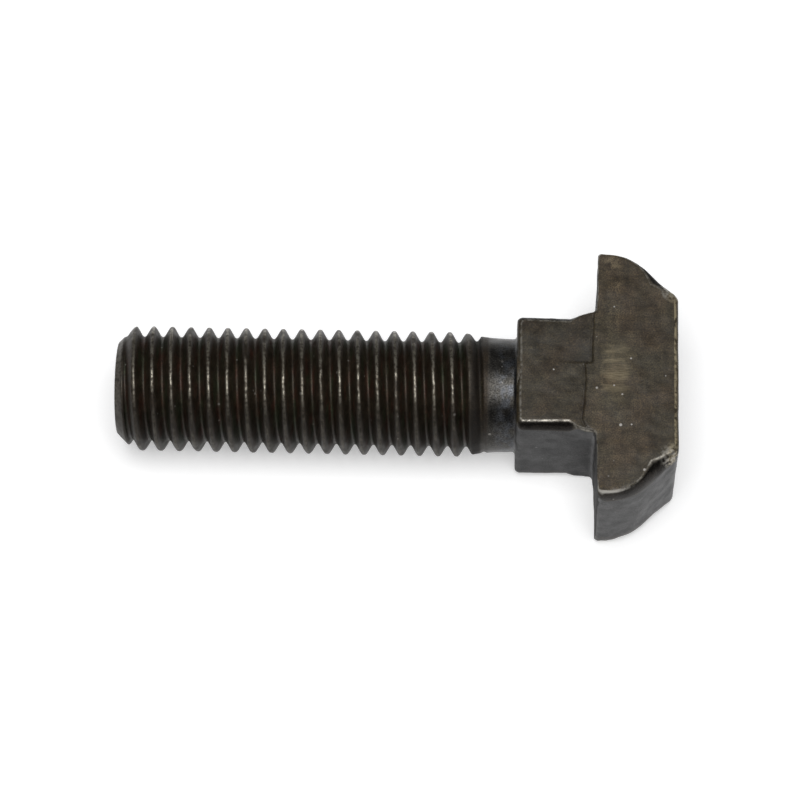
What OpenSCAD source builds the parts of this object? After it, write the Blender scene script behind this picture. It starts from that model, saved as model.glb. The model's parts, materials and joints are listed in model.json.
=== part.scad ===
// T slot bolt with a square neck: an M12 coarse thread, 45 mm long under the head.
// The bolt lies along X: thread tip at -X, head at +X, thickness of the head along Z.
// The origin is on the bolt's axis, in the plane of the lands under the head.

/* [Length] */
// From the tip to the lands under the head
grip_length = 45; // [38:0.5:80]
// Thread, from the tip to the end of its run-out
thread_length = 34.8; // [20:0.2:34.8]
// Square neck, measured from the lands under the head
neck_length = 7.4; // [5:0.1:8]

/* [Thread] */
// Diameter over the crests
thread_d = 11.8; // [11.4:0.05:12]
// Advance of one turn of the right-hand thread
pitch = 1.75; // [1.25:0.05:2]
// Depth of the groove from crest to root
groove_depth = 0.98; // [0.7:0.01:1.05]
// Width of the flat at the bottom of the groove
root_flat = 0.28; // [0.1:0.01:0.3]
// Angle between the two flanks
flank_angle = 60; // [50:1:60]
// Flat face on the end of the thread
point_d = 8.7; // [7:0.1:9.4]
// Where the groove meets the end face, around the axis
start_angle = 260; // [0:5:355]
// Length over which the crests fall to the shank
crest_fade = 2.5; // [1:0.1:4]

/* [Shank] */
// Diameter of the shank beside the thread
shank_d = 10.86; // [10:0.02:11.2]
// Diameter of the shank beside the neck
shank_neck_d = 10.62; // [10:0.02:11]
// Fillet between the shank and the neck
shank_fillet = 0.35; // [0.1:0.05:0.4]

/* [Neck] */
// Width across the flats of the square neck
neck_w = 11.5; // [11.4:0.05:12]
// Radius of the four long edges of the neck
neck_edge_r = 0.85; // [0.3:0.05:1.2]
// Radius around the end of the neck, at the shank
neck_end_r = 0.6; // [0.2:0.05:0.8]
// Length at the head where the long edges are sharp
neck_root_length = 2.4; // [1.5:0.1:3.5]
// Slope from the rounded edges out to the sharp ones
neck_root_slope = 1.2; // [0.6:0.1:1.4]
// Fillet between the neck and the lands under the head
neck_fillet = 0.4; // [0.1:0.05:0.6]

/* [Head] */
// Span of the head across the slot
head_span = 25.1; // [22:0.1:30]
// Thickness of the head along the slot
head_thick = 11.7; // [11.6:0.05:14]
// Height of the head
head_height = 7.65; // [6.5:0.05:9]
// How far each end slopes in, across the slot
slope_w = 4.4; // [3:0.1:5]
// Height of the head taken by each sloping end
slope_h = 4.4; // [3.5:0.05:5]
// Blend between the upright end and its slope
slope_blend_r = 6; // [2:0.1:7]
// Radius between the slope and the outer face
slope_end_r = 1.5; // [0.5:0.1:2]
// Radius of the long edges of the outer face
head_edge_r = 0.5; // [0.2:0.05:0.8]
// Radius of the edges around the lands
land_edge_r = 0.45; // [0.2:0.05:0.8]
// Depth of the bevel on each sloping edge, at its start
bevel_start = 0.25; // [0.1:0.05:0.6]
// Depth of the same bevel at the outer face
bevel_end = 1.25; // [0.6:0.05:1.6]

/* [Hidden] */
$fn = 96;
steel = "#3a3733";

// Segments in one turn of the groove, and steps in one rounded corner
turn_steps = 30;
corner_steps = 8;
// How far the groove's cutter stands proud of the crests
cutter_proud = 0.12;
// A piece reaches this far into the one that carries it
seat = 2;

tip_x = -grip_length;
fade_x = tip_x + thread_length;
neck_x = -neck_length;
thread_r = thread_d / 2;
point_r = point_d / 2;
chamfer_l = thread_r - point_r;

// Half widths of the neck and the head
neck_h = neck_w / 2;
span_h = head_span / 2;
thick_h = head_thick / 2;

// ---- outlines ----

// Points of an arc about c, from angle a to angle b
function arc(c, r, a, b, n = corner_steps) =
    [for (i = [0:n]) c + r * [cos(a + (b - a) * i / n), sin(a + (b - a) * i / n)]];

// Half of an outline above X, closed by its mirror image below
function both_sides(half) =
    concat(half, [for (i = [len(half) - 1:-1:0]) [half[i][0], -half[i][1]]]);

// A bar from x0 to x1 of half width h, with radius r0 at x0 and r1 at x1
module bar_outline(x0, x1, h, r0, r1) {
    polygon(both_sides(concat(
        arc([x0 + r0, h - r0], r0, 180, 90),
        arc([x1 - r1, h - r1], r1, 90, 0))));
}

// Lays an outline of X and Y out flat, with its thickness t centred on the axis
module across_z(t) translate([0, 0, -t / 2]) linear_extrude(t) children();

// Turns an outline of X and Z upright, with its thickness t centred on the axis
module across_y(t) rotate([90, 0, 0]) across_z(t) children();

// ---- thread and shank ----

// The turned blank: point, crests, their fall to the shank, shank and its fillet at the neck
module blank() {
    fillet = arc([neck_x - shank_fillet, shank_neck_d / 2 + shank_fillet], shank_fillet, 270, 360);
    profile = concat(
        [[tip_x, 0], [tip_x, point_r], [tip_x + chamfer_l, thread_r],
         [fade_x - crest_fade, thread_r], [fade_x, shank_d / 2]],
        fillet,
        [[neck_x + seat, fillet[corner_steps][1]], [neck_x + seat, 0]]);
    rotate([0, 90, 0]) rotate_extrude() polygon([for (p = profile) [p[1], p[0]]]);
}

// One section of the groove's cutter: lift is how far it has risen out of the bolt
function groove_section(x, angle, lift) =
    let (root_r = thread_r - groove_depth + lift,
         top_r = thread_r + cutter_proud + lift,
         top_half = root_flat / 2 + (top_r - root_r) * tan(flank_angle / 2))
    [for (p = [[-root_flat / 2, root_r], [root_flat / 2, root_r], [top_half, top_r], [-top_half, top_r]])
        [x + p[0], p[1] * cos(angle), p[1] * sin(angle)]];

// The right-hand groove as one swept solid. It starts a turn ahead of the tip, and rises out of
// the shank over its last turn.
module groove_cutter() {
    turns = thread_length / pitch;
    first = -turn_steps;
    last = ceil(turns * turn_steps);
    corners = 4;
    full_lift = groove_depth - (thread_r - shank_d / 2) + cutter_proud;
    points = [for (i = [first:last])
        let (turn = i / turn_steps,
             fade = max(0, 1 - (turns - turn)))
        each groove_section(tip_x + turn * pitch, start_angle + 360 * turn, fade * full_lift)];
    rows = last - first;
    sides = [for (i = [0:rows - 1], k = [0:corners - 1])
        let (a = i * corners + k,
             b = i * corners + (k + 1) % corners)
        each [[a, b + corners, b], [a, a + corners, b + corners]]];
    start_cap = [[for (k = [0:corners - 1]) k]];
    end_cap = [[for (k = [corners - 1:-1:0]) rows * corners + k]];
    polyhedron(points, concat(sides, start_cap, end_cap), convexity = 10);
}

// ---- square neck ----

// The neck with its rounded long edges and rounded end
module neck_body() {
    intersection() {
        across_z(neck_w) bar_outline(neck_x, seat, neck_h, neck_end_r, neck_end_r);
        across_y(neck_w) bar_outline(neck_x, seat, neck_h, neck_end_r, neck_end_r);
        rotate([90, 0, 90]) translate([0, 0, neck_x])
            linear_extrude(neck_length + seat) bar_outline(-neck_h, neck_h, neck_h, neck_edge_r, neck_edge_r);
    }
}

// Outline of the neck's root: it slopes out at its front and flares by flare at the head
module root_outline(flare) {
    polygon(both_sides(concat(
        [[-neck_root_length, neck_h - neck_root_slope],
         [neck_root_slope - neck_root_length, neck_h]],
        flare > 0 ? arc([-flare, neck_h + flare], flare, 270, 360) : [],
        [[seat, neck_h + flare]])));
}

// The sharp-edged root of the neck, with its fillet to the lands
module neck_root() {
    intersection() {
        across_z(neck_w) root_outline(neck_fillet);
        across_y(head_span) root_outline(0);
    }
}

// ---- head ----

// Outline of the head across the slot: lands, upright ends, blends, slopes and outer face
module head_outline() {
    lean = atan(slope_w / slope_h);
    // Where the upright end would meet its slope without the blend
    knee = [head_height - slope_h, span_h];
    // The outer corner turns through what the slope leaves of a right angle
    corner_l = slope_end_r * tan((90 - lean) / 2);
    corner = [head_height - slope_end_r, span_h - slope_w - corner_l];
    // The blend has room from the edge of the land to the outer corner
    room = min(knee[0] - land_edge_r, norm([slope_w, slope_h]) - corner_l);
    blend_l = min(slope_blend_r * tan(lean / 2), room);
    blend_r = blend_l / tan(lean / 2);
    blend = [knee[0] - blend_l, span_h - blend_r];
    polygon(both_sides(concat(
        arc([land_edge_r, span_h - land_edge_r], land_edge_r, 180, 90),
        arc(blend, blend_r, 90, 90 - lean),
        arc(corner, slope_end_r, 90 - lean, 0))));
}

// The bevel along one sloping edge, growing towards the outer face
module edge_bevel() {
    lean = atan(slope_w / slope_h);
    run = norm([slope_w, slope_h]);
    big = head_span;
    translate([head_height - slope_h, span_h, thick_h])
        rotate([0, 0, -lean]) rotate([-45, 0, 0])
        rotate([0, atan((bevel_end - bevel_start) / run), 0])
        translate([-big / 2, -big / 2, -bevel_start]) cube(big);
}

module head() {
    difference() {
        intersection() {
            across_z(head_thick) head_outline();
            across_y(head_span) bar_outline(0, head_height, thick_h, land_edge_r, head_edge_r);
        }
        for (y = [0, 1], z = [0, 1])
            mirror([0, y, 0]) mirror([0, 0, z]) edge_bevel();
    }
}

// ---- the bolt, forged and rolled in one piece ----

module t_bolt() {
    color(steel) {
        difference() {
            blank();
            groove_cutter();
        }
        neck_body();
        neck_root();
        head();
    }
}

t_bolt();
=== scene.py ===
import json
import math
from collections import namedtuple

import bmesh
import bpy
import numpy as np
from mathutils import Matrix, Vector, geometry, kdtree, noise


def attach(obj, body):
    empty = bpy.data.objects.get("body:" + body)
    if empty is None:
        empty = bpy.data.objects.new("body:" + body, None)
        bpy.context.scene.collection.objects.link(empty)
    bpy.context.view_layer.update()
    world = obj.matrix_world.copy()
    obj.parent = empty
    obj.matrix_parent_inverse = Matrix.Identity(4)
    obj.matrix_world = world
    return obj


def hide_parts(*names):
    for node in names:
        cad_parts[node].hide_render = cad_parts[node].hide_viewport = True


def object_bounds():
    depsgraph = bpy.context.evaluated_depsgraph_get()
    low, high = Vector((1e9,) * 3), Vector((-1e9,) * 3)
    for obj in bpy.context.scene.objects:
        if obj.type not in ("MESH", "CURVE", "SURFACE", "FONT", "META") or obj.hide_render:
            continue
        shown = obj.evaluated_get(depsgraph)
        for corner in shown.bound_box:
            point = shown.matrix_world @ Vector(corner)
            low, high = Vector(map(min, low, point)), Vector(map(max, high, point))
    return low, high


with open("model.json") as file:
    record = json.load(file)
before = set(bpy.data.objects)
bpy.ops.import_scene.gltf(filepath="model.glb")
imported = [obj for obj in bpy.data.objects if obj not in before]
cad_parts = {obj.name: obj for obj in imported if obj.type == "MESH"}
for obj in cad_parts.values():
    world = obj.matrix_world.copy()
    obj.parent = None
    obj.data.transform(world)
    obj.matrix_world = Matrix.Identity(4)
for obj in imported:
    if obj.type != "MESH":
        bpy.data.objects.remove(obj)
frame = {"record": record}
cad_low, cad_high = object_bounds()
mounts = {mount["name"]: mount for mount in frame["record"]["mounts"]}

# ---------------------------------------------------------------- sizes, in millimetres
MM = 0.001
# The crests, the head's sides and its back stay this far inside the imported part's box
SKIN = 0.003

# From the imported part: X runs along the bolt, and the lands under the head lie at X = 0
TIP_X = cad_low.x / MM
BACK_X = cad_high.x / MM
SPAN_H = cad_high.y / MM
CREST_R = min(mounts["thread"]["dims"]["r_mm"], cad_high.z / MM) - SKIN
THREAD_L = mounts["thread"]["dims"]["length_mm"]
NECK_X = -mounts["neck"]["dims"]["length_mm"]

# Thread and shank, as in part.scad
PITCH = 1.75
GROOVE_DEPTH = 0.98
ROOT_FLAT = 0.28
FLANK = math.radians(30)
POINT_R = 4.35
START_TURN = 260 / 360
CUTTER_PROUD = 0.12
CREST_FADE = 2.5
FADE_X = TIP_X + THREAD_L
SHANK_R = 5.43
SHANK_NECK_R = 5.31
SHANK_FILLET = 0.35

# Neck and head, as in part.scad
NECK_H = 5.75
HEAD_H = 5.85
SLOPE_W = 4.4
SLOPE_H = 4.4


# ---------------------------------------------------------------- small helpers
def smooth_min(a, b, width):
    """The lower of a and b, rounded where they cross."""
    near = np.clip(1 - np.abs(a - b) / width, 0, 1)
    return np.minimum(a, b) - near * near * width / 4


def smooth_max(a, b, width):
    return -smooth_min(-a, -b, width)


def ramp(x, low, high):
    """0 below low, 1 above high, with a smooth climb between them."""
    t = np.clip((x - low) / (high - low), 0, 1)
    return t * t * (3 - 2 * t)


def bump(x, middle, width):
    """1 at middle, falling to 0 at width to either side of it."""
    return np.clip(1 - np.abs(x - middle) / width, 0, 1)


def wobble(points, scale, seed):
    """Smooth noise from -1 to 1 at points, with bumps about scale apart."""
    shift = Vector((seed * 17.3, seed * 5.7, seed * 11.9))
    return np.array([noise.noise(Vector(p) / scale + shift) for p in points])


def waves(points, scale, height, first_seed):
    """A small smooth shift of every point, by up to height in each direction."""
    seeds = range(first_seed, first_seed + 3)
    return np.column_stack([wobble(points, scale, seed) for seed in seeds]) * height


def new_object(name, points, faces):
    mesh = bpy.data.meshes.new(name)
    mesh.from_pydata([tuple(p) for p in np.asarray(points) * MM], [], faces)
    obj = bpy.data.objects.new(name, mesh)
    bpy.context.scene.collection.objects.link(obj)
    return obj


def tidy_mesh(obj, reach):
    """Joins points closer than reach and turns every face outwards."""
    work = bmesh.new()
    work.from_mesh(obj.data)
    bmesh.ops.remove_doubles(work, verts=work.verts, dist=reach * MM)
    bmesh.ops.recalc_face_normals(work, faces=work.faces)
    work.to_mesh(obj.data)
    work.free()


def mesh_points(mesh):
    """The places of a mesh's vertices, in millimetres."""
    flat = np.empty(len(mesh.vertices) * 3)
    mesh.vertices.foreach_get("co", flat)
    return flat.reshape(-1, 3) / MM


# ---------------------------------------------------------------- threaded rod
ROD_COLUMNS = 120
ROD_END_X = NECK_X + 0.8
ROD_JOIN = 0.004
# Where one pitch is sampled, counted from the middle of a crest
CREST_SAMPLES = [-0.13, -0.095, -0.06, 0, 0.06, 0.095, 0.13]
FLANK_SAMPLES = [0.19, 0.25, 0.31, 0.37]
ROOT_SAMPLES = [0.41, 0.44, 0.47, 0.5, 0.53, 0.56, 0.59]
PITCH_SAMPLES = CREST_SAMPLES + FLANK_SAMPLES + ROOT_SAMPLES + [1 - s for s in FLANK_SAMPLES[::-1]]
# Rings across the flat of the point: share of the rim's radius, and how far in they lie
POINT_RINGS = [(0.975, 0.02), (0.93, 0.0), (0.7, 0.03), (0.4, 0.05), (0.15, 0.06)]
# How widely neighbouring faces are rounded into each other
POINT_BLEND = 0.2
FADE_BLEND = 0.1
SHANK_BLEND = 0.15
ROOT_BLEND = 0.22
CREST_BLEND = 0.25
# How many turns before the thread's end its groove starts to rise
RUN_OUT_TURNS = 0.8
# Wear: small nicks and broad dents in the crests, and an uneven turned face
NICK_DEPTH = 0.10
DENT_DEPTH = 0.22
TURNED_UNEVEN = 0.012


def blank_radius(x):
    """Radius of the turned blank: point, crests, fall to the shank, shank and its fillet."""
    point = POINT_R + (x - TIP_X)
    fade = CREST_R + (SHANK_R - CREST_R) * (x - FADE_X + CREST_FADE) / CREST_FADE
    along = np.clip((x - FADE_X) / (NECK_X - FADE_X), 0, 1)
    shank = SHANK_R + (SHANK_NECK_R - SHANK_R) * along
    body = smooth_max(smooth_min(np.full_like(x, CREST_R), fade, FADE_BLEND), shank, SHANK_BLEND)
    near = np.clip(x - (NECK_X - SHANK_FILLET), 0, SHANK_FILLET)
    flare = SHANK_FILLET - np.sqrt(np.maximum(SHANK_FILLET**2 - near**2, 0))
    return smooth_min(point, body, POINT_BLEND) + flare


def thread_radius(x, turn, phase):
    """Radius of the thread at x, where turn counts from the tip and phase is 0 on a crest."""
    full_lift = GROOVE_DEPTH - (CREST_R - SHANK_R) + CUTTER_PROUD
    lift = np.clip(RUN_OUT_TURNS - (THREAD_L / PITCH - turn), 0, None) * full_lift
    from_root = 0.5 - np.abs(((phase + 0.5) % 1) - 0.5)
    rise = (from_root * PITCH - ROOT_FLAT / 2) / math.tan(FLANK)
    root = CREST_R - GROOVE_DEPTH + lift + smooth_max(rise, np.zeros_like(rise), ROOT_BLEND)
    return smooth_min(blank_radius(x), root, CREST_BLEND)


def rod():
    """Points and faces of the threaded rod. Its rows follow the helix, so a crest stays on one row;
    rows that pass an end are pressed flat onto it, where tidy_mesh joins them."""
    turns = math.ceil((ROD_END_X - TIP_X) / PITCH)
    rows_at = np.array([t + s for t in range(-2, turns + 2) for s in PITCH_SAMPLES])
    column_at = np.arange(ROD_COLUMNS) / ROD_COLUMNS
    advance = rows_at[:, None] + column_at[None, :] - START_TURN - 0.5
    x = np.clip(TIP_X + PITCH * advance, TIP_X, ROD_END_X)
    turn = (x - TIP_X) / PITCH
    r = thread_radius(x, turn, turn - column_at[None, :] + START_TURN + 0.5)
    angle = 2 * math.pi * column_at[None, :]
    points = np.stack([x, r * np.cos(angle), r * np.sin(angle)], -1).reshape(-1, 3)

    def at(row, column):
        """A row's points carry on, once round, on the row one pitch further along."""
        row += len(PITCH_SAMPLES) * (column // ROD_COLUMNS)
        return row * ROD_COLUMNS + column % ROD_COLUMNS

    last = len(rows_at) - 1 - len(PITCH_SAMPLES)
    columns = range(ROD_COLUMNS)
    faces = [(at(j, i), at(j, i + 1), at(j + 1, i + 1), at(j + 1, i))
             for j in range(last) for i in columns]

    # The far end is closed by one fan inside the head, and the point by rings and a fan
    far = len(points)
    faces += [(far, at(last, i), at(last, i + 1)) for i in columns]
    rim = points[:ROD_COLUMNS]
    rings = [rim * [1, share, share] + [inset, 0, 0] for share, inset in POINT_RINGS]
    points = np.vstack([points, [[ROD_END_X, 0, 0]], *rings, [[TIP_X + POINT_RINGS[-1][1], 0, 0]]])
    ring = [at(0, i) for i in columns]
    for k in range(len(POINT_RINGS)):
        inner = [far + 1 + k * ROD_COLUMNS + i for i in columns]
        faces += [(ring[i], inner[i], inner[i - 1], ring[i - 1]) for i in columns]
        ring = inner
    faces += [(ring[i], len(points) - 1, ring[i - 1]) for i in columns]
    return points, faces


def wear_rod(points):
    """Crests a little ragged, and the turned shank not quite even."""
    x = points[:, 0]
    r = np.hypot(points[:, 1], points[:, 2])
    crest = ramp(r, CREST_R - 0.3, CREST_R - 0.05)
    nick = np.clip(wobble(points, 0.55, 1) - 0.05, 0, 1) * NICK_DEPTH
    nick += np.clip(wobble(points, 1.9, 2) - 0.28, 0, 1) * DENT_DEPTH
    uneven = TURNED_UNEVEN * wobble(points, 1.1, 3)
    scale = (r - nick * crest + uneven * (1 - crest)) / np.maximum(r, 0.1)
    keep = ramp(x, TIP_X, TIP_X + 0.3) * (1 - ramp(x, NECK_X - 0.8, NECK_X - 0.2))
    scale = 1 + (scale - 1) * keep
    return points * np.column_stack([np.ones_like(scale), scale, scale])


# ---------------------------------------------------------------- head and neck
WALL_SPACING = 0.28
WALL_STEPS = 26
CAP_GRID = 0.22
BODY_JOIN = 0.003
# Where the rounded edges have their rings, in degrees from the flat cap to the upright wall
ARC_ANGLES = [0, 6, 12, 22, 35, 50, 64, 78, 90]
# How far back the outer ends of the lands lie
LAND_TAPER = 0.12
# Where the bevel beside the outer corner is at its widest, counted from that corner
CHIP_AT = 1.75
# The caps are finer in this range, around the seam
SEAM_GRID = 0.11
SEAM_LOW = (-3.4, -NECK_H)
SEAM_HIGH = (0.3, NECK_H)
# The seam where the neck's upset metal laps onto the head: X at each Y
SEAM_Y = [-6.4, -5.6, -4.9, -3.0, -1.0, 0.75, 0.95, 2.5, 5.75, 6.4]
SEAM_X = [-0.1, -0.9, -1.3, -1.1, -1.05, -1.15, -0.45, -0.42, -0.3, -0.1]
# The sunken patch beside the seam
LEDGE_Y = 0.85
LEDGE_X = (-3.6, -1.6)
LEDGE_DEPTH = 0.07
CRACK_DEPTH = 0.09
# How far the upper corners of the neck's root spread, and how far the lands lean
FLARE = 0.5
LAND_LEAN = 0.14
# Heights of the broad and the fine waves in the faces, and of small and large knocks in the edges
BROAD_WAVE = 0.05
FINE_WAVE = 0.018
KNOCK_DEPTH = 0.08
CHIP_DEPTH = 0.15

# A corner of the outline. Its rounded edge has an inset and a drop before the corner and after it
Corner = namedtuple("Corner", "x y radius insets drops inner_radius points")


def corner_list():
    """Outline of head and neck, clockwise from the middle of the neck's end."""
    knee = BACK_X - SLOPE_H
    half = [
        Corner(NECK_X, 0, 0, (0.5, 0.5), (0.5, 0.5), 0, 1),
        Corner(NECK_X, NECK_H, 0.6, (0.5, 0.7), (0.5, 1.1), 0.3, 7),
        Corner(-2.5, NECK_H, 0, (0.8, 0.8), (1.3, 1.3), 0, 1),
        Corner(-1.7, NECK_H, 0, (0.25, 0.25), (0.4, 0.4), 0, 1),
        Corner(0, NECK_H, 0.4, (0.2, 0.12), (0.3, 0.2), 0.45, 7),
        Corner(LAND_TAPER, SPAN_H, 0.5, (0.14, 0.45), (0.25, 1.5), 0.3, 7),
        Corner(knee, SPAN_H, 6, (0.45, -0.05), (1.7, 1.8), 3.9, 20),
        Corner(BACK_X - CHIP_AT, SPAN_H - SLOPE_W + CHIP_AT, 0, (1.3, 1.3), (1.9, 1.9), 0, 1),
        Corner(BACK_X, SPAN_H - SLOPE_W, 1.5, (0.45, 0.45), (1.5, 0.45), 0.7, 10),
        Corner(BACK_X, 0, 0, (0.45, 0.45), (0.45, 0.45), 0, 1),
    ]
    other = [c._replace(y=-c.y, insets=c.insets[::-1], drops=c.drops[::-1]) for c in half[-2:0:-1]]
    return half + other


def line_meet(p, d, q, e):
    """Where the line through p along d meets the line through q along e."""
    cross = d[0] * e[1] - d[1] * e[0]
    t = ((q[0] - p[0]) * e[1] - (q[1] - p[1]) * e[0]) / cross
    return p + d * t


def inner_vertices(corners):
    """The outline's corners moved inwards by the insets of the edges that meet there."""
    count = len(corners)
    base = [np.array(c[:2], float) for c in corners]

    def edge(k):
        following = (k + 1) % count
        a, b = base[k], base[following]
        d = (b - a) / np.linalg.norm(b - a)
        inwards = np.array([d[1], -d[0]])
        start = a + inwards * corners[k].insets[1]
        end = b + inwards * corners[following].insets[0]
        return start, (end - start) / np.linalg.norm(end - start)

    moved = []
    for k in range(count):
        p, d = edge(k - 1)
        q, e = edge(k)
        nearly_straight = abs(d[0] * e[1] - d[1] * e[0]) < 0.2 and corners[k].radius == 0
        moved.append(q if nearly_straight else line_meet(p, d, q, e))
    return moved


def corner_arc(v, before, after, radius, count):
    """Points that round the corner v of an outline."""
    if radius == 0 or count == 1:
        return [v] * count
    u = (before - v) / np.linalg.norm(before - v)
    w = (after - v) / np.linalg.norm(after - v)
    angle = math.acos(np.clip(np.dot(u, w), -1, 1))
    reach = radius / math.tan(angle / 2)
    centre = v + (u + w) / np.linalg.norm(u + w) * radius / math.sin(angle / 2)
    p = v + u * reach - centre
    q = v + w * reach - centre
    first = math.atan2(p[1], p[0])
    turn = (math.atan2(q[1], q[0]) - first + math.pi) % (2 * math.pi) - math.pi
    at = [first + turn * i / (count - 1) for i in range(count)]
    return [centre + radius * np.array([math.cos(a), math.sin(a)]) for a in at]


def rounded(vertices, radii, counts, steps=None):
    """Points along an outline with its corners rounded, and the number of steps on each edge."""
    n = len(vertices)
    arcs = [corner_arc(vertices[k], vertices[k - 1], vertices[(k + 1) % n], radii[k], counts[k])
            for k in range(n)]
    made = []
    used = []
    for k in range(n):
        made += arcs[k]
        a, b = arcs[k][-1], arcs[(k + 1) % n][0]
        m = steps[k] if steps else max(1, round(np.linalg.norm(b - a) / WALL_SPACING))
        used.append(m)
        made += [a + (b - a) * i / m for i in range(1, m)]
    return np.array(made), used


def along_outline(pairs, counts, steps):
    """A value at each point that rounded() makes, from its values before and after each corner."""
    made = []
    for k, (before, after) in enumerate(pairs):
        made += list(np.linspace(before, after, counts[k]))
        following = pairs[(k + 1) % len(pairs)][0]
        made += [after + (following - after) * i / steps[k] for i in range(1, steps[k])]
    return np.array(made)


def grid_points(low, high, step):
    xs = np.arange(low[0] + step / 2, high[0], step)
    ys = np.arange(low[1] + step / 2, high[1], step)
    gx, gy = np.meshgrid(xs, ys)
    return np.column_stack([gx.ravel(), gy.ravel()])


def inside_outline(points, outline, margin):
    """Which points lie inside a closed outline, at least margin away from it."""
    inside = np.zeros(len(points), bool)
    near = np.full(len(points), np.inf)
    px, py = points[:, 0], points[:, 1]
    for (ax, ay), (bx, by) in zip(outline, np.roll(outline, -1, axis=0)):
        dx, dy = bx - ax, by - ay
        t = np.clip(((px - ax) * dx + (py - ay) * dy) / (dx * dx + dy * dy), 0, 1)
        near = np.minimum(near, np.hypot(px - ax - t * dx, py - ay - t * dy))
        if ay != by:
            spans = (ay > py) != (by > py)
            inside ^= spans & (px < dx * (py - ay) / dy + ax)
    return inside & (near > margin)


def cap_mesh(outline):
    """Points and triangles that fill an outline, finer around the seam."""
    coarse = grid_points(outline.min(axis=0), outline.max(axis=0), CAP_GRID)
    apart = ((coarse < SEAM_LOW) | (coarse > SEAM_HIGH)).any(axis=1)
    fine = grid_points(SEAM_LOW, SEAM_HIGH, SEAM_GRID)
    chosen = np.vstack([coarse[apart], fine])
    chosen = chosen[inside_outline(chosen, outline, SEAM_GRID * 0.8)]
    count = len(outline)
    edges = [(i, (i + 1) % count) for i in range(count)]
    coords = [Vector(p) for p in outline] + [Vector(p) for p in chosen]
    found = geometry.delaunay_2d_cdt(coords, edges, [], 1, 1e-6)
    return np.array([tuple(v) for v in found[0]]), found[2]


def body_rings(outer, inner, drop):
    """Rings of points from the upper cap, round its edge, down the wall and round the lower edge.
    Each has its turn, and how far its points lie outside the cap."""
    inset = np.linalg.norm(outer - inner, axis=1)
    upper = []
    for angle in ARC_ANGLES:
        a = math.radians(angle)
        xy = inner + (outer - inner) * math.sin(a)
        ring = np.column_stack([xy, HEAD_H - drop * (1 - math.cos(a))])
        upper.append((ring, angle / ARC_ANGLES[-1], inset * math.sin(a)))
    lower = [(ring * [1, 1, -1], turn, out) for ring, turn, out in upper[::-1]]
    heights = [(HEAD_H - drop) * (1 - 2 * k / WALL_STEPS) for k in range(1, WALL_STEPS)]
    wall = [(np.column_stack([outer, height]), 1, inset) for height in heights]
    return upper + wall + lower


def t_body():
    """Points and faces of the head and neck, with three values a point. Turn is 0 on the faces that
    look up and down, and climbs to 1 round the edge to the upright walls. Drop is that edge's
    height, and out is how far the point lies outside the flat face."""
    corners = corner_list()
    counts = [c.points for c in corners]
    places = [np.array(c[:2], float) for c in corners]
    outer, steps = rounded(places, [c.radius for c in corners], counts)
    inner, _ = rounded(inner_vertices(corners), [c.inner_radius for c in corners], counts, steps)
    drop = along_outline([c.drops for c in corners], counts, steps)
    rings, turns, outs = zip(*body_rings(outer, inner, drop))
    n = len(outer)
    faces = [(j * n + i, j * n + (i + 1) % n, (j + 1) * n + (i + 1) % n, (j + 1) * n + i)
             for j in range(len(rings) - 1) for i in range(n)]

    # The caps come after the rings
    cap, triangles = cap_mesh(inner)
    base = len(rings) * n
    m = len(cap)
    level = np.full(m, HEAD_H)
    points = np.vstack([*rings, np.column_stack([cap, level]), np.column_stack([cap, -level])])
    faces += [tuple(base + i for i in t) for t in triangles]
    faces += [tuple(base + m + i for i in t[::-1]) for t in triangles]
    flat = np.zeros(2 * m)
    values = [np.repeat(turns, n), np.tile(drop, len(rings)), np.concatenate(outs)]
    return points, faces, [np.concatenate([value, flat]) for value in values]


def seam_gap(points):
    """How far a point lies past the seam towards the head."""
    return points[:, 0] - np.interp(points[:, 1], SEAM_Y, SEAM_X) - 0.12 * wobble(points, 0.7, 4)


def ledge(points):
    """Depth, from 0 to 1, of the sunken patch beside the seam, with a sharp step at LEDGE_Y."""
    x, y = points[:, 0], points[:, 1]
    along = ramp(x, LEDGE_X[0], LEDGE_X[1]) * (1 - ramp(x, -0.45, -0.2))
    return along * ramp(y, LEDGE_Y, LEDGE_Y + 0.1) * (1 - ramp(y, LEDGE_Y + 0.1, LEDGE_Y + 2.6))


def sunken_depth(points):
    """How far the flat faces sink: the neck's below the head's, the seam's crack and its patch."""
    past = seam_gap(points)
    sink = (HEAD_H - NECK_H) * (1 - ramp(past, -0.12, 0.06))
    sink += CRACK_DEPTH * np.exp(-(past / 0.1) ** 2) * (np.abs(points[:, 1]) < NECK_H + 0.4)
    return sink + LEDGE_DEPTH * ledge(points)


def knocks(points, turn):
    """How deep the rounded edges are knocked in."""
    hit = np.clip(wobble(points, 0.6, 11), 0, 1) * KNOCK_DEPTH
    hit += np.clip(wobble(points, 1.7, 12) - 0.25, 0, 1) * CHIP_DEPTH
    return hit * bump(turn, 0.4, 0.4)


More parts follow.
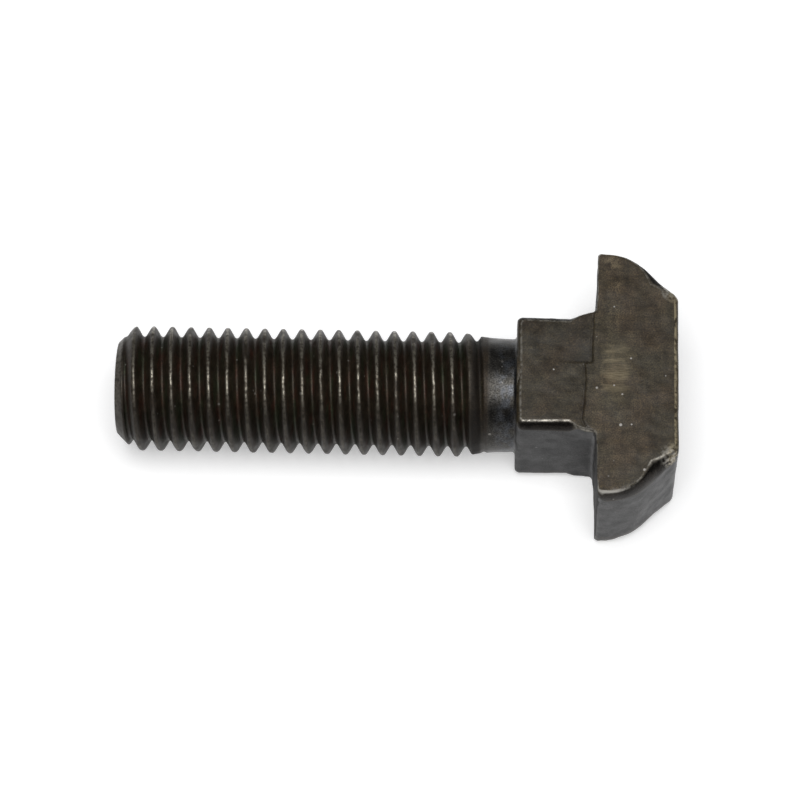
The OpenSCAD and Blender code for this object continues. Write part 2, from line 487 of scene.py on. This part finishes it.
def forge(points, turn):
    """The head and neck as forged: the neck a little lower than the head, a lapped seam between
    them, corners that spread at the root, and faces and edges that aren't quite even."""
    x, y, z = points.T.copy()
    top = ramp(np.abs(z), HEAD_H - 1.2, HEAD_H - 0.1)
    z -= np.sign(z) * sunken_depth(points) * top
    root = ramp(x, -2.3, -0.1) * (1 - ramp(x, 0.0, 0.4)) * ramp(z, 2.0, 5.4)
    spread = ramp(np.abs(y), 4.4, 5.4) * (1 - ramp(np.abs(y), 5.9, 7.4))
    y += np.sign(y) * FLARE * root * spread
    lands = ramp(np.abs(y), NECK_H + 0.3, NECK_H + 1.5) * (1 - ramp(x, 0.5, 2.0))
    x += LAND_LEAN * lands * (HEAD_H - z) / (2 * HEAD_H)
    moved = np.column_stack([x, y, z])
    shift = waves(points, 2.3, BROAD_WAVE, 5)
    shift += waves(points, 0.8, FINE_WAVE, 8)
    centre = np.column_stack([np.clip(x, NECK_X + 2, BACK_X - 2), y * 0.5, z * 0.5])
    inwards = centre - moved
    inwards /= np.linalg.norm(inwards, axis=1)[:, None]
    moved += shift + inwards * knocks(points, turn)[:, None]
    limit = np.array([BACK_X, SPAN_H, CREST_R]) - SKIN
    moved[:, 0] = np.minimum(moved[:, 0], limit[0])
    moved[:, 1:] = np.clip(moved[:, 1:], -limit[1:], limit[1:])
    return moved


# ---------------------------------------------------------------- one mesh of both
# Numbers written on each vertex for the material to read: where it wears, and where painted shade goes
MARKS = ("rim", "band", "cap", "wall", "land", "body", "seam", "sunken", "crest", "groove", "thread")


def unite(base, other):
    """Joins two closed meshes into one skin, kept on base."""
    cut = base.modifiers.new("union", "BOOLEAN")
    cut.operation = "UNION"
    cut.object = other
    cut.solver = "EXACT"
    graph = bpy.context.evaluated_depsgraph_get()
    joined = bpy.data.meshes.new_from_object(base.evaluated_get(graph), depsgraph=graph)
    base.modifiers.clear()
    base.data = joined
    bpy.data.objects.remove(other)


def at_nearest(points, known, values):
    """Values given at known points, read at the nearest one to each of points."""
    tree = kdtree.KDTree(len(known))
    for i, p in enumerate(known):
        tree.insert(Vector(p), i)
    tree.balance()
    nearest = np.array([tree.find(Vector(p))[1] for p in points])
    return [value[nearest] for value in values]


def mark_wear_and_shade(mesh, body_points, body_values):
    """Writes what the material needs to know of each vertex, including where it gets painted shade."""
    points = mesh_points(mesh)
    x, y, z = points.T
    r = np.hypot(y, z)
    blank = blank_radius(x)
    body = x > NECK_X - 0.02
    turn, drop, out = [value * body for value in at_nearest(points, body_points, body_values)]
    on_rod = (x < NECK_X - 0.02) & (x > TIP_X + 0.02)
    thread = on_rod * (1 - ramp(x, FADE_X, FADE_X + 0.4))
    full = 1 - ramp(x, FADE_X - CREST_FADE, FADE_X - CREST_FADE / 2)
    top = ramp(np.abs(z), HEAD_H - 1.2, HEAD_H - 0.3) * (np.abs(y) < NECK_H + 0.6)
    marks = {
        # A line along each rounded edge where the lamp's highlight falls: wear with a painted highlight
        "rim": bump(out, 0.15, 0.15) * (turn < 0.8),
        # The middle of each rounded edge, which the material paints dark as a painted reflection
        "band": (turn > 0.2) * (turn < 0.95) * ramp(drop, 0.5, 1.0),
        "cap": body & (turn < 0.01),
        "wall": body & (turn > 0.99),
        # The lands under the head, which the material darkens with painted shade
        "land": body & (x < 0.3) & (np.abs(y) > NECK_H + 0.5) & (turn > 0.5),
        "body": body,
        "seam": np.exp(-(seam_gap(points) / 0.09) ** 2) * top * body,
        "sunken": ledge(points) * top * body,
        "crest": ramp(r - blank, -0.07, -0.01) * thread * full,
        "groove": ramp(blank - r, 0.06, 0.5) * thread,
        "thread": thread,
    }
    for name in MARKS:
        layer = mesh.attributes.new(name, "FLOAT", "POINT")
        layer.data.foreach_set("value", np.asarray(marks[name], np.float32))


def make_bolt():
    points, faces = rod()
    bolt = new_object("t_slot_bolt", wear_rod(points), faces)
    tidy_mesh(bolt, ROD_JOIN)
    points, faces, body_values = t_body()
    body_points = forge(points, body_values[0])
    block = new_object("head", body_points, faces)
    tidy_mesh(block, BODY_JOIN)
    unite(bolt, block)
    bolt.data.polygons.foreach_set("use_smooth", np.ones(len(bolt.data.polygons), bool))
    mark_wear_and_shade(bolt.data, body_points, body_values)
    return bolt


bolt = make_bolt()
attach(bolt, "root")
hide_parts("t_bolt")


# ---------------------------------------------------------------- materials
class Nodes:
    """Short names for the nodes of one shader. Places are in millimetres."""

    def __init__(self, name):
        self.material = bpy.data.materials.new(name)
        self.material.use_nodes = True
        self.tree = self.material.node_tree
        self.shader = self.tree.nodes["Principled BSDF"]
        self.place = self.scaled(self.add("ShaderNodeTexCoord").outputs["Object"], (1 / MM,) * 3)
        self.x, self.y, self.z = (self.axis(self.place, letter) for letter in "XYZ")
        # What mark_wear_and_shade wrote on the vertices
        self.mark = {mark: self.value(mark) for mark in MARKS}
        # Noises that several parts of the material share
        self.mottle = self.noise(0.9, 4, shift=2)
        self.grain = self.noise(0.13, 3, shift=5)
        self.ragged = self.span(self.noise(0.35, 3, shift=17), 0.38, 0.62)

    def add(self, kind, **settings):
        node = self.tree.nodes.new(kind)
        for key, value in settings.items():
            setattr(node, key, value)
        return node

    def put(self, socket, value):
        if isinstance(value, bpy.types.NodeSocket):
            self.tree.links.new(value, socket)
        else:
            socket.default_value = value

    def scaled(self, vector, by):
        node = self.add("ShaderNodeVectorMath", operation="MULTIPLY")
        self.put(node.inputs[0], vector)
        node.inputs[1].default_value = by
        return node.outputs[0]

    def chain(self, operation, values):
        """One value made from several by the same operation."""
        result = values[0]
        for value in values[1:]:
            node = self.add("ShaderNodeMath", operation=operation)
            self.put(node.inputs[0], result)
            self.put(node.inputs[1], value)
            result = node.outputs[0]
        return result

    def both(self, *values):
        """The product of several masks."""
        return self.chain("MULTIPLY", values)

    def most(self, *values):
        """The highest of several masks."""
        return self.chain("MAXIMUM", values)

    def total(self, *values):
        return self.chain("ADD", values)

    def value(self, name):
        return self.add("ShaderNodeAttribute", attribute_name=name).outputs["Fac"]

    def axis(self, vector, letter):
        node = self.add("ShaderNodeSeparateXYZ")
        self.put(node.inputs[0], vector)
        return node.outputs[letter]

    def noise(self, size, detail=2.0, stretch=(1, 1, 1), shift=0.0):
        """Noise with bumps about size apart, drawn out along an axis where stretch is over 1."""
        node = self.add("ShaderNodeTexNoise", noise_dimensions="4D")
        vector = self.scaled(self.place, tuple(1 / (size * s) for s in stretch))
        self.put(node.inputs["Vector"], vector)
        node.inputs["W"].default_value = shift
        node.inputs["Scale"].default_value = 1
        node.inputs["Detail"].default_value = detail
        return node.outputs["Fac"]

    def cells(self, size):
        """Random cells, size across."""
        node = self.add("ShaderNodeTexVoronoi")
        self.put(node.inputs["Vector"], self.scaled(self.place, (1 / size,) * 3))
        node.inputs["Scale"].default_value = 1
        return node

    def span(self, value, low, high, to_low=0.0, to_high=1.0):
        """Runs smoothly from to_low, where value is low, to to_high, where it is high."""
        node = self.add("ShaderNodeMapRange", interpolation_type="SMOOTHSTEP")
        self.put(node.inputs["Value"], value)
        node.inputs["From Min"].default_value = low
        node.inputs["From Max"].default_value = high
        node.inputs["To Min"].default_value = to_low
        node.inputs["To Max"].default_value = to_high
        return node.outputs["Result"]

    def window(self, value, reach):
        """1 between the middle two of reach's four numbers, and 0 outside the outer two."""
        return self.both(self.span(value, reach[0], reach[1]), self.span(value, reach[2], reach[3], 1, 0))

    def blend(self, share, a, b, mode="MIX"):
        node = self.add("ShaderNodeMix", data_type="RGBA", blend_type=mode)
        self.put(node.inputs["Factor"], share)
        self.put(node.inputs[6], a)
        self.put(node.inputs[7], b)
        return node.outputs[2]

    def level(self, share, a, b):
        """A number that runs from a to b as share runs from 0 to 1."""
        node = self.add("ShaderNodeMix", data_type="FLOAT")
        self.put(node.inputs[0], share)
        self.put(node.inputs[2], a)
        self.put(node.inputs[3], b)
        return node.outputs[0]

    def near(self, place, reach):
        """1 at a place, falling to 0 at reach from it, and the same on the bolt's other sides."""
        folded = self.add("ShaderNodeVectorMath", operation="ABSOLUTE")
        self.put(folded.inputs[0], self.place)
        away = self.add("ShaderNodeVectorMath", operation="DISTANCE")
        self.put(away.inputs[0], folded.outputs[0])
        away.inputs[1].default_value = place
        return self.span(away.outputs["Value"], reach * 0.3, reach, 1, 0)


# Oxide on the forged head and neck, on the turned shank and in the thread
OXIDE = (0.052, 0.0355, 0.0185, 1)
OXIDE_COOL = (0.043, 0.034, 0.0185, 1)
# Painted shade: a painted dark reflection along the middle of the rounded edges, and painted shade on the
# lands
PAINTED_SHADE = (0.016, 0.014, 0.013, 1)
WALL = (0.027, 0.028, 0.031, 1)
TURNED = (0.049, 0.046, 0.041, 1)
# Lighter blue patches on the shank, partly a painted highlight
TURNED_BLUE_SHEEN = (0.069, 0.072, 0.078, 1)
GROOVE = (0.032, 0.0225, 0.013, 1)
RUST = (0.050, 0.019, 0.010, 1)
GREEN_OIL = (0.026, 0.029, 0.013, 1)
SEAM = (0.012, 0.009, 0.007, 1)
# Bare steel where the oxide is worn through; on the edges and crests and at the glint corners it is
# partly a painted highlight too
WORN_SHEEN = (0.34, 0.32, 0.28, 1)
CREST_SHEEN = (0.27, 0.25, 0.205, 1)
RUBBED = (0.44, 0.37, 0.24, 1)
GILT = (0.66, 0.56, 0.36, 1)
POLISHED_GLINT = (0.74, 0.71, 0.65, 1)
# Light specks on the oxide
SPECK = (0.50, 0.48, 0.45, 1)

# How strongly each finish, and the painted shade on the lands and edge bands, covers what lies under it
WALL_COVER = 0.85
LAND_SHADE_COVER = 0.6
BAND_SHADE_COVER = 0.9
RUB_COVER = 0.52
EDGE_COVER = 0.9
CREST_COVER = 0.75
SPECK_COVER = 0.8
# Where marks lie, in millimetres. A range of four starts, is full, is still full, and ends
PATCH_X = (0.2, 1.3, 2.3, 3.5)
PATCH_Y = (-4.0, -0.2, 1.0, 3.6)
GILT_X = (1.6, 1.8, 1.9, 2.3)
RUN_OUT_X = (FADE_X - 1.7, FADE_X - 1.2, FADE_X - 0.7, FADE_X - 0.3)
BLUE_SHEEN_X = (-9.8, -8.6)
HEAD_X = (-0.6, 0.0)
OUTER_X = (6.4, 6.9)
CHAFED_CORNER = (1.5, 11.2, HEAD_H)
# Corners whose edges are polished and carry a painted highlight
GLINT_CORNER = (1.3, 12.2, HEAD_H)
KNOCKED_CORNER = (7.0, 8.5, 5.5)


def turned_colour(n):
    """The shank: dark turned steel, with a lighter blue cast in patches near the neck that is partly a
    painted highlight.
    """
    patches = n.span(n.noise(0.95, 2, shift=43), 0.40, 0.62)
    return n.blend(n.both(patches, n.span(n.x, *BLUE_SHEEN_X)), TURNED, TURNED_BLUE_SHEEN)


def groove_colour(n, colour):
    """The thread: brown oxide, with rust and oil that run round its grooves."""
    groove = n.mark["groove"]
    colour = n.blend(n.mark["thread"], colour, GROOVE)
    rust = n.span(n.noise(0.42, 3, (1, 5, 5), 11), 0.46, 0.68, 0, 0.9)
    colour = n.blend(n.both(groove, rust), colour, RUST)
    oil = n.span(n.noise(0.5, 3, (1, 6, 6), 13), 0.46, 0.66)
    return n.blend(n.both(groove, oil), colour, GREEN_OIL)


def oxide_colour(n):
    """The colour of the whole bolt where its oxide is unworn, with painted shade on the lands and a
    painted dark reflection along the middle of the rounded edges.
    """
    colour = n.blend(n.span(n.noise(3.2, 3), 0.35, 0.65), OXIDE_COOL, OXIDE)
    colour = n.blend(n.both(n.mark["wall"], WALL_COVER), colour, WALL)
    # Painted shade on the lands under the head
    colour = n.blend(n.both(n.mark["land"], LAND_SHADE_COVER), colour, PAINTED_SHADE)
    colour = n.blend(n.mark["body"], turned_colour(n), colour)
    colour = groove_colour(n, colour)
    # A painted dark reflection along the middle of the rounded edges
    return n.blend(n.both(n.mark["band"], BAND_SHADE_COVER), colour, PAINTED_SHADE)


def forged_tone(n):
    """Factor from the forging: scale on the walls, drawn lines on the caps, and lightest just behind
    the lands."""
    cap = n.mark["cap"]
    scale = n.level(n.mark["wall"], 1.0, n.span(n.noise(1.3, 3, shift=29), 0.35, 0.65, 0.7, 1.5))
    neck_to_head = n.both(n.span(n.x, -1.4, 0.2, 0.80, 1.06), n.span(n.x, 2.0, 2.5, 1.0, 0.84))
    drawn = n.span(n.noise(0.4, 2, (1, 14, 1), 47), 0.3, 0.7, 0.86, 1.14)
    drawn = n.level(n.both(cap, n.span(n.x, -0.4, 0.2)), 1.0, drawn)
    far_neck = n.level(n.both(n.span(n.y, 0.0, 4.0), n.span(n.x, *HEAD_X, 1, 0)), 1.0, 0.78)
    sunken = n.level(n.mark["sunken"], 1.0, 0.6)
    streak = n.level(cap, 1.0, n.span(n.noise(0.22, 2, (9, 1, 1), 7), 0.3, 0.7, 0.85, 1.15))
    return n.both(scale, neck_to_head, drawn, far_neck, sunken, streak)


def thread_tone(n):
    """Factor on the thread's colour, darker at the point and towards -Y, and all of it darker in the
    run-out. The darkening towards -Y is painted shade."""
    # Painted shade towards -Y, and darker at the point
    dark = n.both(n.span(n.y, -5.0, -2.5, 0.62, 1.0), n.span(n.x, TIP_X, TIP_X + 2.5, 0.7, 1.0))
    return n.both(n.level(n.mark["thread"], 1.0, dark), n.level(n.window(n.x, RUN_OUT_X), 1.0, 0.5))


def toned(n, colour):
    """The colour made uneven, from blotches down to single grains of scale, with the thread's painted
    shade towards -Y.
    """
    tone = n.span(n.mottle, 0.25, 0.75, 0.72, 1.28)
    fine = n.span(n.grain, 0.25, 0.75, 0.45, 1.55)
    fleck = n.level(n.axis(n.cells(0.10).outputs["Color"], "X"), 0.72, 1.28)
    shade = n.add("ShaderNodeCombineColor")
    factor = n.both(tone, fine, fleck, forged_tone(n), thread_tone(n))
    for socket in shade.inputs:
        n.put(socket, factor)
    return n.blend(1.0, colour, shade.outputs[0], "MULTIPLY")


def rubbed_patch(n):
    """Short bright streaks where the head's upper face has been rubbed."""
    shift = n.both(n.total(n.noise(0.5, 4, (3, 1, 1), 31), -0.5), 2.2)
    across = n.window(n.total(n.x, shift), PATCH_X)
    along = n.window(n.total(n.y, shift), PATCH_Y)
    streak = n.span(n.noise(0.09, 2, (9, 1, 1), 4), 0.36, 0.62, 0.45, 1.0)
    bar = n.span(n.noise(0.40, 1, (14, 1, 1), 57), 0.38, 0.62, 0.30, 1.0)
    return n.both(across, along, streak, bar, n.span(n.z, 5.2, 5.6))


def rubbed(n):
    """All the places where the head's faces are rubbed."""
    patch = n.both(rubbed_patch(n), n.mark["body"])
    chafed = n.both(n.near(CHAFED_CORNER, 1.2), n.span(n.y, 9.0, 10.5), 0.5)
    chafed = n.both(chafed, n.span(n.mottle, 0.36, 0.66), n.span(n.grain, 0.3, 0.6))
    line = n.both(n.window(n.x, GILT_X), n.span(n.y, 3.0, 6.0), n.mark["cap"], 0.3)
    line = n.both(line, n.span(n.mottle, 0.40, 0.65), n.span(n.grain, 0.4, 0.65))
    return n.most(patch, chafed, line)


def edge_wear_and_glint(n, worn_glint, knocked):
    """Bare steel along the edges, broken up, whole at the glint and knocked corners. It lies where the
    lamp's highlight falls on the rounding, so it is partly a painted highlight, and mostly so at the
    glint corners.
    """
    bare = n.most(n.level(n.ragged, 0.15, 1.0), worn_glint)
    sparkle = n.span(n.noise(0.5, 5, shift=37), 0.38, 0.60)
    return n.most(n.both(n.mark["rim"], n.level(n.span(n.x, *OUTER_X), bare, sparkle)), knocked)


def edge_colour(n, worn_glint, knocked):
    # Worn steel, golden at the outer end and polished at the glint corners, partly a painted highlight
    golden = n.both(n.span(n.x, *OUTER_X), n.level(knocked, 1.0, 0.0))
    return n.blend(worn_glint, n.blend(golden, WORN_SHEEN, GILT), POLISHED_GLINT)


def crest_wear_and_shade(n):
    """Bare steel on the thread's crests, with a colour that is partly a painted highlight; less at the
    point, and less towards -Y as painted shade.
    """
    # Fewer bright crests towards -Y as painted shade, and fewer at the point
    crest_shade = n.both(n.span(n.y, -5.0, -2.0, 0.25, 1.0), n.span(n.x, TIP_X + 0.8, TIP_X + 3.0, 0.35, 1.0))
    broken = n.span(n.noise(0.35, 4, shift=19), 0.32, 0.66, 0.05, 1.0)
    return n.both(n.mark["crest"], crest_shade, broken)


def specks(n, size, share, pitch):
    """Small bright dots, size across, in the given share of the cells of a loose grid."""
    cells = n.cells(pitch)
    dot = n.span(cells.outputs["Distance"], size * 0.3 / pitch, size * 0.7 / pitch, 1, 0)
    return n.both(dot, n.chain("LESS_THAN", (n.axis(cells.outputs["Color"], "X"), share)))


def roughness(n, worn):
    wall = n.mark["wall"]
    thread = n.mark["thread"]
    neck_side = n.both(wall, n.span(n.x, *HEAD_X, 1, 0))
    rough = n.total(n.span(n.mottle, 0.3, 0.7, 0.33, 0.47),
                    n.level(wall, n.level(n.mark["body"], -0.03, 0.0), 0.08),
                    n.both(neck_side, 0.09), n.both(n.mark["sunken"], 0.2),
                    n.both(n.window(n.x, RUN_OUT_X), 0.2), n.both(thread, 0.14))
    rough = n.level(n.mark["band"], rough, n.span(n.y, 5.0, 8.0, 0.40, 0.75))
    rough = n.level(worn, rough, n.level(n.mark["crest"], 0.31, 0.26))
    return n.level(n.mark["land"], rough, 0.75)


def metallic(n, worn, worn_glint):
    """Low on brown oxide, higher on the dark edge bands, the shank, the thread and bare steel."""
    thread = n.mark["thread"]
    shank = n.both(n.level(n.mark["body"], 1.0, 0.0), n.level(thread, 1.0, 0.0))
    dark = n.most(n.mark["band"], shank, n.both(thread, 0.5), n.both(n.mark["land"], 0.4))
    return n.level(worn, n.level(dark, 0.15, 0.9), n.level(worn_glint, 0.8, 0.35))


def fine_relief(n):
    """Grain and mottle of the scale, and the seam's crack."""
    relief = n.add("ShaderNodeBump")
    relief.inputs["Strength"].default_value = 0.6
    relief.inputs["Distance"].default_value = 0.05 * MM
    height = n.total(n.both(n.grain, 0.35), n.both(n.mottle, 0.65), n.both(n.mark["seam"], -0.8))
    n.put(relief.inputs["Height"], height)
    return relief.outputs["Normal"]


def black_steel():
    n = Nodes("black_steel")
    # Wear and a painted highlight at the glint corners
    worn_glint = n.near(GLINT_CORNER, 2.0)
    knocked = n.both(n.near(KNOCKED_CORNER, 1.5), n.ragged, n.span(n.z, 0, 1))
    rub = rubbed(n)
    edge = edge_wear_and_glint(n, worn_glint, knocked)
    # Crest wear, with a painted highlight and painted shade towards -Y
    crest = crest_wear_and_shade(n)
    dots = n.both(n.most(specks(n, 0.26, 0.08, 1.1), specks(n, 0.17, 0.09, 0.8)),
                  n.level(n.mark["cap"], 0.3, 1.0))
    seam = n.both(n.mark["seam"], n.span(n.noise(0.9, 2, shift=23), 0.35, 0.62, 0.25, 0.85))

    colour = toned(n, oxide_colour(n))
    colour = n.blend(n.both(rub, RUB_COVER), colour, RUBBED)
    colour = n.blend(n.both(edge, EDGE_COVER), colour, edge_colour(n, worn_glint, knocked))
    colour = n.blend(n.both(crest, CREST_COVER), colour, CREST_SHEEN)
    colour = n.blend(seam, colour, SEAM)
    colour = n.blend(n.both(dots, SPECK_COVER), colour, SPECK)
    worn = n.most(edge, crest, rub)
    n.put(n.shader.inputs["Base Color"], colour)
    n.put(n.shader.inputs["Roughness"], roughness(n, worn))
    n.put(n.shader.inputs["Metallic"], metallic(n, worn, worn_glint))
    n.put(n.shader.inputs["Normal"], fine_relief(n))
    return n.material


bolt.data.materials.clear()
bolt.data.materials.append(black_steel())


# ---------------------------------------------------------------- camera
ELEVATION = math.radians(65)
DISTANCE = 344 * MM
ROLL = math.radians(1.12)
FOOT_X = -10.4 * MM
AIM = Vector((-18.35, -0.56, -0.28)) * MM
VIEW_WIDTH = 75.65 * MM
SENSOR = 36


def add_camera():
    lens = bpy.data.cameras.new("camera")
    lens.sensor_width = SENSOR
    lens.lens = SENSOR * DISTANCE / VIEW_WIDTH
    camera = bpy.data.objects.new("camera", lens)
    bpy.context.scene.collection.objects.link(camera)
    place = Vector((FOOT_X, -DISTANCE * math.cos(ELEVATION), DISTANCE * math.sin(ELEVATION)))
    look = (AIM - place).normalized()
    right = look.cross(Vector((0, math.sin(ELEVATION), math.cos(ELEVATION)))).normalized()
    turned = Matrix((right, right.cross(look), -look)).transposed().to_4x4()
    camera.matrix_world = Matrix.Translation(place) @ turned @ Matrix.Rotation(ROLL, 4, "Z")
    bpy.context.scene.camera = camera


# ---------------------------------------------------------------- floor, lamp and world
FLOOR_SIZE = 3.0
FLOOR_GLOW = 0.4
FLOOR_WHITE = (0.8, 0.8, 0.8, 1)
LAMP_ELEVATION = math.radians(80)
LAMP_DISTANCE = 0.6
LAMP_SIZE = 0.42
LAMP_WATTS = 2.9
# The world's tint, and its strength below HORIZON and above ZENITH, as heights on a unit ball
WORLD_TINT = (0.97, 0.98, 1, 1)
HORIZON = 0.2
HORIZON_LEVEL = 0.07
ZENITH = 0.9
ZENITH_LEVEL = 0.30


def floor_material():
    """White where the camera or a reflection sees it, with the object's shadow kept."""
    material = bpy.data.materials.new("pale_floor")
    material.use_nodes = True
    tree = material.node_tree
    tree.nodes.remove(tree.nodes["Principled BSDF"])
    diffuse = tree.nodes.new("ShaderNodeBsdfDiffuse")
    diffuse.inputs["Color"].default_value = FLOOR_WHITE
    glow = tree.nodes.new("ShaderNodeEmission")
    path = tree.nodes.new("ShaderNodeLightPath")
    seen = path.outputs["Is Camera Ray"]
    for name in ("Is Glossy Ray", "Is Transmission Ray"):
        either = tree.nodes.new("ShaderNodeMath")
        either.operation = "MAXIMUM"
        tree.links.new(seen, either.inputs[0])
        tree.links.new(path.outputs[name], either.inputs[1])
        seen = either.outputs[0]
    strength = tree.nodes.new("ShaderNodeMath")
    strength.operation = "MULTIPLY"
    tree.links.new(seen, strength.inputs[0])
    strength.inputs[1].default_value = FLOOR_GLOW
    tree.links.new(strength.outputs[0], glow.inputs["Strength"])
    total = tree.nodes.new("ShaderNodeAddShader")
    tree.links.new(diffuse.outputs[0], total.inputs[0])
    tree.links.new(glow.outputs[0], total.inputs[1])
    tree.links.new(total.outputs[0], tree.nodes["Material Output"].inputs[0])
    return material


def add_floor():
    bpy.ops.mesh.primitive_plane_add(size=FLOOR_SIZE, location=(0, 0, cad_low.z))
    floor = bpy.context.object
    floor.name = "floor"
    floor.data.materials.append(floor_material())


def add_lamp():
    """A soft square lamp that looks at the bolt from high on the camera's side."""
    light = bpy.data.lights.new("top_lamp", "AREA")
    light.shape = "SQUARE"
    light.size = LAMP_SIZE
    light.energy = LAMP_WATTS
    lamp = bpy.data.objects.new("top_lamp", light)
    bpy.context.scene.collection.objects.link(lamp)
    away = Vector((0, -math.cos(LAMP_ELEVATION), math.sin(LAMP_ELEVATION)))
    centre = Vector(((TIP_X + BACK_X) / 2 * MM, 0, 0))
    lamp.location = centre + away * LAMP_DISTANCE
    lamp.rotation_euler = away.to_track_quat("Z", "Y").to_euler()


def add_world():
    """A dim world that grows brighter from the horizon up."""
    world = bpy.data.worlds.new("studio")
    bpy.context.scene.world = world
    world.use_nodes = True
    tree = world.node_tree
    background = tree.nodes["Background"]
    background.inputs["Color"].default_value = WORLD_TINT
    height = tree.nodes.new("ShaderNodeSeparateXYZ")
    tree.links.new(tree.nodes.new("ShaderNodeTexCoord").outputs["Generated"], height.inputs[0])
    climb = tree.nodes.new("ShaderNodeMapRange")
    climb.interpolation_type = "SMOOTHSTEP"
    tree.links.new(height.outputs["Z"], climb.inputs["Value"])
    climb.inputs["From Min"].default_value = HORIZON
    climb.inputs["From Max"].default_value = ZENITH
    climb.inputs["To Min"].default_value = HORIZON_LEVEL
    climb.inputs["To Max"].default_value = ZENITH_LEVEL
    tree.links.new(climb.outputs["Result"], background.inputs["Strength"])


add_camera()
add_floor()
add_lamp()
add_world()
bpy.context.scene.view_settings.view_transform = "Standard"
